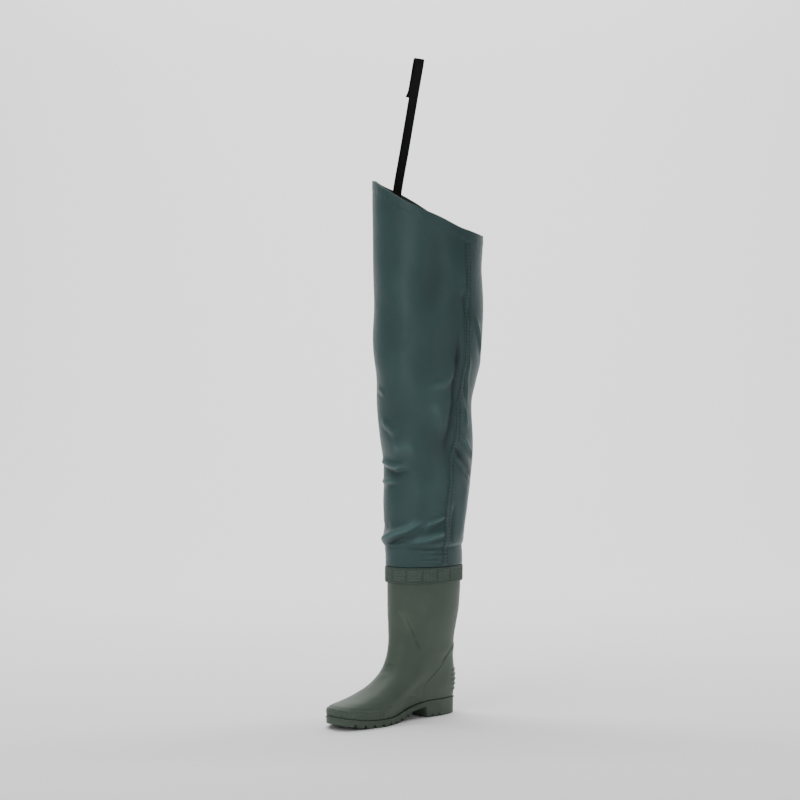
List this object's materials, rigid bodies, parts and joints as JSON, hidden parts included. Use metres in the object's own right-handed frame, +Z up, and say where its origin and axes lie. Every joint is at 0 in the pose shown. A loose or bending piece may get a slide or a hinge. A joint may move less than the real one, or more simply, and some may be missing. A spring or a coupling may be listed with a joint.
{
  "type": "hip wader",
  "caption": "Hip wader for the right foot: moulded rain boot with heel and lugged sole, tall coated-cloth leg with a slanted rim, and a webbing belt strap with its slider.",
  "frame": {"origin": "centre of the heel's flat bottom face, on the floor", "axes": "+Z up along the leg; the toe points to -Y; +X towards the inner side of the leg"},
  "size_m": [0.1788, 0.3215, 1.111],
  "materials": {
    "boot": "moulded, satin",
    "band": "knurled, matte",
    "cloth": "coated weave, satin",
    "webbing": "woven webbing",
    "sock": "knit lining",
    "slider": "moulded"
  },
  "bodies": {
    "root": {"outsole": "boot", "insole": "sock", "upper": "boot", "toe_guard": "boot", "heel_counter": "boot", "top_band": "band", "leg": "cloth", "inseam_tape": "cloth", "outseam_tape": "cloth", "strap_tab": "webbing", "slider": "slider", "strap": "webbing"}
  },
  "joints": []
}
